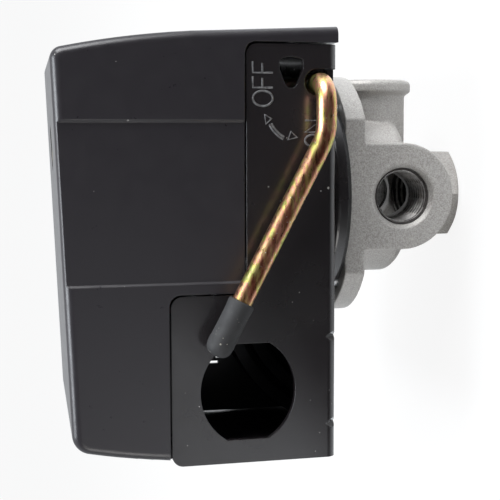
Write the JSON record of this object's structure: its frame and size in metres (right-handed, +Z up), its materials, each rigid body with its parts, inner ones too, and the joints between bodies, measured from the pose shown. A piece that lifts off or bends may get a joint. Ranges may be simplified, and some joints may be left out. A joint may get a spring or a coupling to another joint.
{
  "type": "pressure switch",
  "caption": "Air compressor pressure switch with ported manifold, steel frame, moulded cover, contacts, spring-loaded rocker and bent hand lever.",
  "frame": {"origin": "centre of the main port's mouth, at the lower end of the manifold", "axes": "+Z up along the main port towards the cover, +X towards the side port, -Y towards the end plate with the hand lever"},
  "size_m": [0.0992, 0.0803, 0.1047],
  "materials": {
    "frame_paint": "gloss black",
    "cover_plastic": "satin black",
    "cast_metal": "shot blasted",
    "diaphragm_rubber": "matt",
    "ring_paint": "gloss black",
    "piston_plastic": "natural",
    "zinc_steel": "zinc plated",
    "pressed_steel": "zinc plated",
    "spring_steel": "oiled",
    "moulded_black": "moulded",
    "moulded_red": "moulded",
    "contact_brass": "stamped",
    "ground_green": "green passivated",
    "yellow_zinc": "yellow zinc plated",
    "cap_rubber": "matt"
  },
  "bodies": {
    "housing": {"frame": "frame_paint", "manifold": "cast_metal", "diaphragm": "diaphragm_rubber", "diaphragm_ring": "ring_paint", "flange_screws": "zinc_steel", "flange_washers": "zinc_steel", "rocker_pin": "zinc_steel", "pivot_lugs": "pressed_steel", "range_stud": "zinc_steel", "range_seat": "zinc_steel", "range_spring": "spring_steel", "differential_stud": "zinc_steel", "differential_spring": "spring_steel", "contact_block": "moulded_black", "cable_guide": "moulded_black", "fixed_contacts": "contact_brass", "terminal_clamps": "zinc_steel", "terminal_screws": "zinc_steel", "ground_screw": "ground_green"},
    "piston": {"piston": "piston_plastic"},
    "rocker": {"rocker": "pressed_steel"},
    "contacts": {"contact_carrier": "moulded_red", "moving_contacts": "contact_brass"},
    "range_nut": {"range_nut": "zinc_steel"},
    "differential_nut": {"differential_nut": "zinc_steel"},
    "lever": {"lever_rod": "yellow_zinc", "lever_cap": "cap_rubber", "lever_washer": "zinc_steel", "lever_cam": "pressed_steel"},
    "cover": {"cover": "cover_plastic"},
    "cover_nut": {"cover_nut": "yellow_zinc"}
  },
  "joints": [
    {"name": "rocker_swing", "type": "hinge", "parent": "housing", "child": "rocker", "pos_m": [-0.01, 0, 0.0453], "axis": [0, -1, 0], "range_deg": [0, 7], "stiffness_Nm_per_rad": 0.6, "deforming": ["range_spring", "differential_spring"]},
    {"name": "piston_slide", "type": "slide", "parent": "housing", "child": "piston", "axis": [0, 0, 1], "range_m": [0, 0.0013]},
    {"name": "contact_slide", "type": "slide", "parent": "housing", "child": "contacts", "axis": [0, 0, -1], "range_m": [0, 0.0024]},
    {"name": "lever_turn", "type": "hinge", "parent": "housing", "child": "lever", "pos_m": [0.0266, 0, 0.0446], "axis": [0, 1, 0], "range_deg": [0, 62]},
    {"name": "range_nut_turn", "type": "hinge", "parent": "housing", "child": "range_nut", "pos_m": [0.012, 0, 0.083], "axis": [0, 0, 1], "continuous": true},
    {"name": "differential_nut_turn", "type": "hinge", "parent": "housing", "child": "differential_nut", "pos_m": [-0.0205, 0, 0.064], "axis": [0, 0, 1], "continuous": true},
    {"name": "cover_lift", "type": "slide", "parent": "housing", "child": "cover", "axis": [0, 0, 1], "range_m": [0, 0.075]},
    {"name": "cover_nut_turn", "type": "hinge", "parent": "cover", "child": "cover_nut", "pos_m": [0.012, 0, 0.1], "axis": [0, 0, 1], "continuous": true}
  ],
  "couplings": [
    {"joint": "piston_slide", "follows": "rocker_swing", "m_per_rad": 0.01015},
    {"joint": "contact_slide", "follows": "rocker_swing", "m_per_rad": 0.019235}
  ]
}
